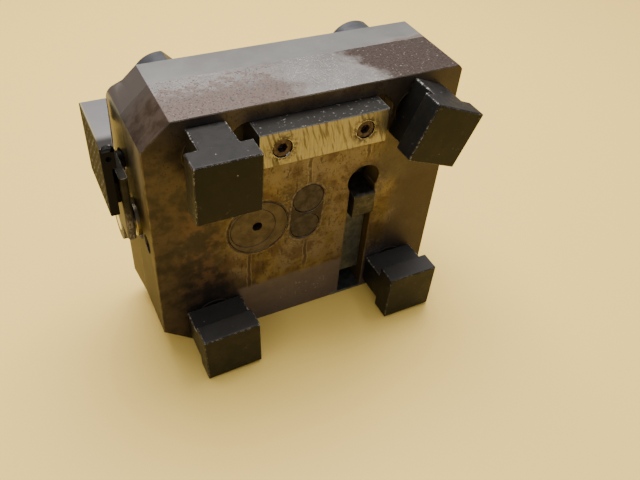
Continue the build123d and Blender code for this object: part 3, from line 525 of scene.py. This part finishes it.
def plug_steel():
    """Covers in the front face: the same brown film, with specks of dirt and worn edges."""
    p = Paint("plug_steel", metallic=0.7, specular=0.2)
    mid = p.noise(9, 4)
    fine = p.noise(2.2, 5, 0.65)
    film = p.tint(p.rise(mid, 0.3, 0.7), (0.06, 0.048, 0.036), (0.1, 0.08, 0.062))
    p.start(film, p.mix(fine, 0.36, 0.55))
    p.coat(p.times(p.rise(fine, 0.58, 0.68), 0.6), (0.042, 0.03, 0.021), 0.6)
    worn = p.times(p.edge(1.2), p.rise(p.noise(5, 4), 0.42, 0.58), 0.7)
    p.coat(worn, (0.216, 0.168, 0.108), 0.45)
    p.lift(fine, 0.06)
    p.lift(mid, 0.15)
    return p.done(0.7)


def blank_steel():
    """The two blanking plugs: dull purple-grey, heavily soiled."""
    p = Paint("blank_steel", metallic=0.6, specular=0.2)
    mid = p.noise(6, 5, 0.6)
    fine = p.noise(1.8, 5, 0.65)
    soil = p.tint(p.rise(mid, 0.35, 0.65), (0.034, 0.028, 0.025), (0.062, 0.053, 0.05))
    p.start(soil, p.mix(fine, 0.4, 0.6))
    p.coat(p.times(p.rise(fine, 0.62, 0.7), 0.4), (0.168, 0.138, 0.102), 0.5)
    p.lift(fine, 0.1)
    p.lift(mid, 0.2)
    return p.done(0.8)


def slide_steel():
    """Stop slide and the slot's foot plate: grey oiled bar with a darker, rubbed nub."""
    p = Paint("slide_steel", metallic=0.7)
    mid = p.noise(7, 5, 0.6)
    fine = p.noise(1.8, 5, 0.65)
    oiled = p.tint(p.rise(mid, 0.35, 0.65), (0.09, 0.098, 0.09), (0.16, 0.165, 0.15))
    p.start(oiled, p.mix(fine, 0.25, 0.42))
    nub = p.rise(p.z, SLIDE_NUB_Z, SLIDE_NUB_Z + 4)
    dirt = p.tint(p.rise(mid, 0.4, 0.62), (0.02, 0.016, 0.011), (0.05, 0.042, 0.034))
    p.coat(p.times(nub, 0.85), dirt, 0.5)
    p.coat(p.times(nub, p.rise(fine, 0.62, 0.7), 0.5), (0.24, 0.222, 0.192), 0.4)
    p.coat(p.times(p.edge(1.2), p.rise(mid, 0.42, 0.55), 0.7), (0.3, 0.282, 0.252), 0.35)
    p.lift(p.times(nub, mid), 0.5)
    p.lift(fine, 0.06)
    return p.done(0.8)


def jaw_steel():
    """Gripping jaw: satin steel on top, painted shade making it nearly black in front and dark at the
    notch, a dark face with a painted golden floor reflection and lighter grooves.
    """
    p = Paint("jaw_steel", specular=0.03)
    big = p.noise(20, 4)
    fine = p.noise(1.2, 4, 0.6)
    low, high = edges_mm("gripping_jaw")
    face_x, front_y, top_z = low.x, low.y, high.z
    p.start(p.tint(big, (0.155, 0.148, 0.145), (0.195, 0.186, 0.183)), p.mix(fine, 0.34, 0.48))
    # knurled face: dark olive, with a golden tint that is a painted reflection of the yellow floor
    outer = p.rise(p.x, face_x + 2.4, face_x + 1.6)
    p.coat(outer, p.tint(big, (0.055, 0.046, 0.02), (0.078, 0.066, 0.03)), 0.65, 0.0)
    groove = p.times(outer, p.rise(p.x, face_x + 0.35 * KNURL_DEEP, face_x + 0.85 * KNURL_DEEP))
    p.coat(p.times(groove, 0.9), (0.27, 0.235, 0.15), 0.6, 0.0)
    # painted shade: the front face nearly black
    front = p.rise(p.ny, -0.6, -0.9)
    black = p.tint(big, (0.004, 0.004, 0.003), (0.009, 0.008, 0.006))
    p.coat(p.times(front, 0.97), black, 0.7, 0.0)
    shade = p.times(p.rise(p.nz, 0.8, 0.95), p.rise(p.y, front_y + 20, front_y + 9))
    p.coat(p.times(shade, 0.95), (0.028, 0.025, 0.023), 0.6, 0.3)
    below = p.rise(p.z, 87.5, 86.5)
    p.coat(p.times(below, p.less(outer), 0.85), (0.016, 0.013, 0.008), 0.5, 0.3)
    notch_shade = p.times(p.rise(p.y, front_y + 5, front_y + 4), p.rise(p.z, top_z - 0.4, top_z - 1))
    p.coat(p.times(p.edge(1.0), p.rise(p.noise(5, 4), 0.45, 0.6), 0.6), (0.36, 0.348, 0.324), 0.3)
    # painted shade in the notch below the top's front edge
    p.coat(p.times(notch_shade, 0.97), (0.012, 0.011, 0.009), 0.65, 0.0)
    p.lift(fine, 0.03)
    return p.done(0.6)


def carrier_steel():
    """Jaw carrier: blackened; lighter low down in front, partly rubbed steel and partly a painted sheen.
    """
    p = Paint("carrier_steel", metallic=0.1, specular=0.08)
    mid = p.noise(8, 5, 0.6)
    fine = p.noise(1.4, 4, 0.6, (1, 1, 0.35))
    black = p.tint(p.rise(mid, 0.35, 0.65), (0.015, 0.013, 0.008), (0.03, 0.026, 0.018))
    p.start(black, p.mix(mid, 0.34, 0.5))
    # lighter low down and in front: rubbed steel with a painted sheen
    low = p.rise(p.z, 48, 20)
    p.coat(p.times(low, 0.6), (0.1, 0.085, 0.065), 0.5)
    rub = p.times(low, p.rise(fine, 0.45, 0.6), p.rise(p.ny, -0.4, -0.8))
    p.coat(p.times(rub, 0.85), (0.2, 0.175, 0.14), 0.42)
    p.coat(p.times(p.edge(1.2), p.rise(mid, 0.4, 0.55), 0.8), (0.3, 0.282, 0.252), 0.35)
    p.lift(fine, 0.05)
    return p.done(0.7)


def hub_steel():
    """Rear hubs: blue-grey blackened steel, rubbed lighter along the edges."""
    p = Paint("hub_steel", metallic=0.8)
    mid = p.noise(9, 4)
    rings = p.noise(0.8, 2, 0.5, (0.02, 1, 0.02))
    p.start(p.tint(mid, (0.054, 0.055, 0.06), (0.09, 0.09, 0.095)), p.mix(mid, 0.34, 0.48))
    p.coat(p.times(p.edge(1.2), p.rise(mid, 0.4, 0.55), 0.6), (0.3, 0.288, 0.27), 0.35)
    p.lift(rings, 0.02)
    return p.done(0.6)


def screw_steel():
    """Blackened socket screws with rust in the sockets."""
    p = Paint("screw_steel", metallic=0.7)
    mid = p.noise(4, 4)
    fine = p.noise(1.0, 4, 0.6)
    rust = p.tint(p.rise(mid, 0.4, 0.62), (0.045, 0.027, 0.019), (0.096, 0.066, 0.051))
    p.start(rust, p.mix(fine, 0.42, 0.6))
    p.coat(p.times(p.edge(0.8), p.rise(mid, 0.42, 0.58), 0.5), (0.216, 0.18, 0.15), 0.4)
    p.lift(fine, 0.05)
    return p.done(0.7)


def turned(name, dark, light, rough):
    """A plain turned or drawn metal with a fine grain and darker spots."""
    p = Paint(name)
    mid = p.noise(12, 4)
    fine = p.noise(0.8, 3, 0.6)
    p.start(p.tint(mid, dark, light), p.mix(fine, rough, rough + 0.12))
    spots = p.times(p.rise(p.noise(5, 4), 0.58, 0.68), 0.4)
    p.coat(spots, tuple(0.5 * c for c in dark), rough + 0.2)
    p.lift(fine, 0.015)
    return p.done(0.5)


def seal_rubber():
    """Seals: dull black rubber."""
    p = Paint("seal_rubber", metallic=0.0)
    mid = p.noise(3, 4)
    p.start(p.tint(mid, (0.007, 0.007, 0.007), (0.018, 0.018, 0.017)), p.mix(mid, 0.5, 0.7))
    p.lift(mid, 0.05)
    return p.done(0.6)


# ---------------------------------------------------------------- shapes
def softened_mesh(node, width, segments):
    """A copy of a CAD node's mesh with its sharp edges broken, as a bmesh.
    Edges in the plane where the two housings meet stay sharp."""
    shape = bmesh.new()
    shape.from_mesh(NODES[node].data)
    bmesh.ops.remove_doubles(shape, verts=shape.verts, dist=SAME_PLACE)
    bmesh.ops.dissolve_limit(shape, angle_limit=FLAT_ANGLE, verts=shape.verts, edges=shape.edges)
    sharp = [
        edge
        for edge in shape.edges
        if len(edge.link_faces) == 2
        and edge.calc_face_angle(0) > SHARP_ANGLE
        and edge.calc_length() > SHORT_EDGE * width * MM
        and not all(abs(vert.co.y / MM - JOINT_Y) < ON_PLANE for vert in edge.verts)
    ]
    bmesh.ops.bevel(
        shape,
        geom=sharp,
        offset=width * MM,
        offset_type="OFFSET",
        segments=segments,
        profile=0.5,
        affect="EDGES",
        clamp_overlap=False,
    )
    return shape


def piece_from(shape, name, node, material):
    """Turns a bmesh into a piece that stands for a CAD node and rides on its body."""
    bmesh.ops.recalc_face_normals(shape, faces=shape.faces)
    mesh = bpy.data.meshes.new(name)
    shape.to_mesh(mesh)
    shape.free()
    mesh.materials.append(material)
    for face in mesh.polygons:
        face.use_smooth = True
    mesh.set_sharp_from_angle(angle=SMOOTH_ANGLE)
    piece = bpy.data.objects.new(name, mesh)
    bpy.context.scene.collection.objects.link(piece)
    weighted = piece.modifiers.new("flat_faces", "WEIGHTED_NORMAL")
    weighted.keep_sharp = True
    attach(piece, BODY_OF[node])
    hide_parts(node)
    return piece


def soften(node, width, segments, material):
    """A finished piece in place of a CAD node, with its edges broken this wide."""
    return piece_from(softened_mesh(node, width, segments), f"{node}_finished", node, material)


def knurl_depth(y, z):
    """How deep the face lies below the crests: two crossing sets of V grooves."""
    deep = 0.0
    for slant in (y + z, y - z):
        part = (slant / KNURL_PITCH) % 1.0
        groove = 1.0 - min(part, 1.0 - part) * 4.0
        deep = max(deep, groove)
    return KNURL_DEEP * deep


def knurled_jaw(material):
    """The jaw with its outer face cut into diamonds."""
    node = "gripping_jaw"
    low = edges_mm(node)[0]
    shape = softened_mesh(node, JAW_EDGE, 2)
    flat = [
        face
        for face in shape.faces
        if all(abs(v.co.x / MM - low.x) < ON_PLANE for v in face.verts)
    ]
    rim_y = [v.co.y / MM for face in flat for v in face.verts]
    rim_z = [v.co.z / MM for face in flat for v in face.verts]
    bmesh.ops.delete(shape, geom=flat, context="FACES")
    outline = [edge for edge in shape.edges if edge.is_boundary]
    step = KNURL_PITCH / KNURL_STEPS
    across = int((max(rim_y) - min(rim_y) - 2 * KNURL_MARGIN) / step)
    down = int((max(rim_z) - min(rim_z) - 2 * KNURL_MARGIN) / step)
    start_y = (min(rim_y) + max(rim_y) - across * step) / 2
    start_z = (min(rim_z) + max(rim_z) - down * step) / 2
    grid = []
    for j in range(down + 1):
        row = []
        for i in range(across + 1):
            border = i in (0, across) or j in (0, down)
            deep = 0.0 if border else knurl_depth(i * step, j * step)
            point = Vector((low.x + deep, start_y + i * step, start_z + j * step))
            row.append(shape.verts.new(point * MM))
        grid.append(row)
    for j in range(down):
        for i in range(across):
            a, b = grid[j][i], grid[j][i + 1]
            c, d = grid[j + 1][i + 1], grid[j + 1][i]
            shape.faces.new((a, b, c, d))
    border = [edge for edge in shape.edges if edge.is_boundary and edge not in outline]
    bmesh.ops.triangle_fill(
        shape, edges=outline + border, use_beauty=True, normal=Vector((-1, 0, 0))
    )
    return piece_from(shape, f"{node}_knurled", node, material)


# ---------------------------------------------------------------- build
FRONT = front_steel()
REAR = rear_steel()
OXIDE = black_oxide("black_oxide")
KEY = key_steel()
PLUG = plug_steel()
BLANK = blank_steel()
SLIDE = slide_steel()
JAW = jaw_steel()
CARRIER = carrier_steel()
HUB = hub_steel()
SCREW = screw_steel()
STEEL = turned("turned_steel", (0.24, 0.234, 0.222), (0.33, 0.324, 0.312), 0.28)
WASHER = turned("washer_steel", (0.042, 0.036, 0.027), (0.078, 0.069, 0.054), 0.42)
# gland: its golden tint is a painted reflection of the yellow floor
GLAND = turned("gland_steel", (0.216, 0.18, 0.108), (0.3, 0.258, 0.168), 0.24)
CHROME = turned("rod_chrome", (0.372, 0.372, 0.378), (0.432, 0.432, 0.438), 0.12)
GUIDE = turned("guide_steel", (0.018, 0.016, 0.013), (0.036, 0.032, 0.026), 0.4)
BRONZE = turned("bearing_bronze", (0.216, 0.132, 0.054), (0.312, 0.21, 0.09), 0.3)
RUBBER = seal_rubber()

CLAW_NAMES = ("upper_left", "upper_right", "lower_left", "lower_right")
SOFTENED = {
    "front_housing": (0.7, 1, FRONT),
    "rear_housing": (0.7, 1, REAR),
    "key_bar": (0.5, 2, KEY),
    "key_bar_screws": (0.5, 2, SCREW),
    "housing_screws": (0.5, 2, SCREW),
    "cover_ring": (0.4, 1, PLUG),
    "cover_plug": (0.4, 1, PLUG),
    "blanking_plug_upper": (0.5, 2, BLANK),
    "blanking_plug_lower": (0.5, 2, BLANK),
    "stop_slide": (0.8, 2, SLIDE),
    "slot_foot_plate": (0.4, 1, SLIDE),
    "cylinder_gland": (0.5, 2, GLAND),
    "jaw_carrier": (0.8, 2, CARRIER),
}
for claw in CLAW_NAMES:
    SOFTENED[f"claw_{claw}"] = (0.9, 3, OXIDE)
    SOFTENED[f"hub_{claw}"] = (0.5, 2, HUB)
    SOFTENED[f"hub_screw_{claw}"] = (0.5, 2, SCREW)
    SOFTENED[f"thrust_washer_{claw}"] = (0.3, 1, WASHER)
for node, (width, segments, material) in SOFTENED.items():
    soften(node, width, segments, material)
knurled_jaw(JAW)

BY_SLOT = {
    "bronze": BRONZE,
    "rod_chrome": CHROME,
    "inner_steel": STEEL,
    "seal_rubber": RUBBER,
    "screw_steel": SCREW,
}
for node, thing in NODES.items():
    if node not in SOFTENED and node != "gripping_jaw":
        thing.data.materials.clear()
        thing.data.materials.append(GUIDE if node == "guide_rod" else BY_SLOT[SLOT_OF[node]])


# ---------------------------------------------------------------- stage
FLOOR_HALF = 4.0            # metres
FLOOR_COLOUR, FLOOR_ROUGH = (0.98, 0.67, 0.15), 0.6
SKY_COLOUR, SKY_STRENGTH = (0.97, 0.97, 1.0), 0.6
# name, place, size, watts and colour of each lamp; both face the frame's origin
LAMPS = (
    ("ceiling", (0.2, 0.5, 1.6), (1.6, 1.2), 64, (1.0, 0.98, 0.95)),
    ("side", (-1.4, -0.4, 1.0), (1.0, 0.8), 2.5, (1.0, 0.97, 0.92)),
)
CAMERA_AT = (-0.2327, -0.5203, 0.4152)
CAMERA_YAW, CAMERA_PITCH, CAMERA_ROLL = 30.38, 42.74, 5.49
CAMERA_LENS = 37.36
CAMERA_CLIP = 0.01


def floor():
    """A plain pale floor under the block."""
    shape = bmesh.new()
    bmesh.ops.create_grid(shape, x_segments=1, y_segments=1, size=FLOOR_HALF)
    mesh = bpy.data.meshes.new("floor")
    shape.to_mesh(mesh)
    shape.free()
    p = Paint("floor_paint", metallic=0.0)
    p.start(FLOOR_COLOUR, FLOOR_ROUGH)
    mesh.materials.append(p.done())
    thing = bpy.data.objects.new("floor", mesh)
    thing.location.z = min(HOUSE_LOW.z, REAR_LOW.z) * MM
    bpy.context.scene.collection.objects.link(thing)


def lamp(name, place, size, power, colour):
    """A rectangular lamp that faces the frame's origin, in the middle of the block's back."""
    data = bpy.data.lights.new(name, "AREA")
    data.shape = "RECTANGLE"
    data.size, data.size_y = size
    data.energy = power
    data.color = colour
    thing = bpy.data.objects.new(name, data)
    thing.location = place
    thing.rotation_mode = "QUATERNION"
    thing.rotation_quaternion = (-Vector(place)).to_track_quat("-Z", "Y")
    bpy.context.scene.collection.objects.link(thing)


def world(colour, strength):
    """Even light from all round."""
    sky = bpy.data.worlds.new("studio")
    sky.use_nodes = True
    ground = sky.node_tree.nodes["Background"]
    ground.inputs["Color"].default_value = (*colour, 1.0)
    ground.inputs["Strength"].default_value = strength
    bpy.context.scene.world = sky


def camera():
    """The camera, turned right by yaw, down by pitch and rolled about its own axis."""
    yaw, pitch, roll = (math.radians(a) for a in (CAMERA_YAW, CAMERA_PITCH, CAMERA_ROLL))
    level = math.cos(pitch)
    ahead = Vector((math.sin(yaw) * level, math.cos(yaw) * level, -math.sin(pitch)))
    right = Vector((math.cos(yaw), -math.sin(yaw), 0))
    up = right.cross(ahead)
    side = right * math.cos(roll) + up * math.sin(roll)
    high = up * math.cos(roll) - right * math.sin(roll)
    data = bpy.data.cameras.new("camera")
    data.lens = CAMERA_LENS
    data.clip_start = CAMERA_CLIP
    thing = bpy.data.objects.new("camera", data)
    bpy.context.scene.collection.objects.link(thing)
    turn = Matrix((side, high, -ahead)).transposed().to_4x4()
    thing.matrix_world = Matrix.Translation(CAMERA_AT) @ turn
    bpy.context.scene.camera = thing


floor()
world(SKY_COLOUR, SKY_STRENGTH)
for name, place, size, power, colour in LAMPS:
    lamp(name, place, size, power, colour)
camera()
